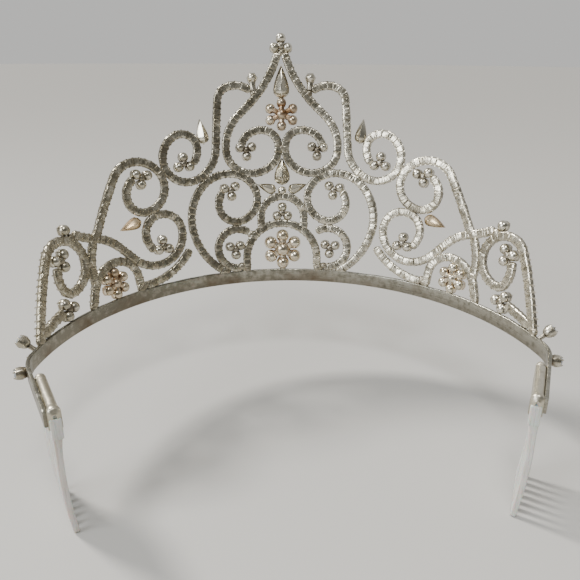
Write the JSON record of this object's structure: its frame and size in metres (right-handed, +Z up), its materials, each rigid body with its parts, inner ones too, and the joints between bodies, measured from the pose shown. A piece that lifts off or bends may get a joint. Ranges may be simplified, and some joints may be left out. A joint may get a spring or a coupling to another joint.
{
  "type": "bridal tiara",
  "caption": "Silver bridal tiara with scrolled stone-set arms, flowers and drops on a slim band, and a comb at each end.",
  "frame": {"origin": "middle of the head space, on the axis of the band's arc, level with the band's lower edge", "axes": "+Z up, the front of the tiara faces -Y, and +X is the wearer's left"},
  "size_m": [0.1308, 0.0989, 0.102],
  "materials": {
    "band_metal": "satin, lightly tarnished silver plate",
    "crest_metal": "aged silver plate",
    "setting_metal": "aged silver plate",
    "flower_metal": "silver plate with brown tarnish",
    "channel_metal": "pale satin",
    "comb_plastic": "clear to milky",
    "stone": "faceted and foil-backed"
  },
  "bodies": {
    "root": {"band": "band_metal", "band_cups": "setting_metal", "band_stones": "stone", "end_cups": "setting_metal", "channel_left": "channel_metal", "channel_right": "channel_metal", "comb_left": "comb_plastic", "comb_right": "comb_plastic", "heart_arm_left": "crest_metal", "heart_arm_right": "crest_metal", "hook_arm_left": "crest_metal", "hook_arm_right": "crest_metal", "upper_scroll_left": "crest_metal", "upper_scroll_right": "crest_metal", "middle_scroll_left": "crest_metal", "middle_scroll_right": "crest_metal", "branch_left": "crest_metal", "branch_right": "crest_metal", "end_scroll_left": "crest_metal", "end_scroll_right": "crest_metal", "ring_scroll_left": "crest_metal", "ring_scroll_right": "crest_metal", "curl_left": "crest_metal", "curl_right": "crest_metal", "side_arch_left": "crest_metal", "side_arch_right": "crest_metal", "link_arm_left": "crest_metal", "link_arm_right": "crest_metal", "leaf_stalk_left": "crest_metal", "leaf_stalk_right": "crest_metal", "crown_arch": "crest_metal", "top_arch": "crest_metal", "heart_clusters": "setting_metal", "hook_clusters": "setting_metal", "upper_clusters": "setting_metal", "middle_clusters": "setting_metal", "end_clusters": "setting_metal", "ring_clusters": "setting_metal", "curl_clusters": "setting_metal", "leaf_clusters": "setting_metal", "top_cluster": "setting_metal", "apex_cluster": "setting_metal", "tip_settings": "setting_metal", "cluster_stones": "stone", "pendant_drop": "setting_metal", "star_drops": "setting_metal", "hook_drops": "setting_metal", "scroll_drops": "setting_metal", "drop_stones": "stone", "drop_flower": "flower_metal", "centre_flower": "flower_metal", "side_flower_left": "flower_metal", "side_flower_right": "flower_metal", "flower_stones": "stone"}
  },
  "joints": []
}
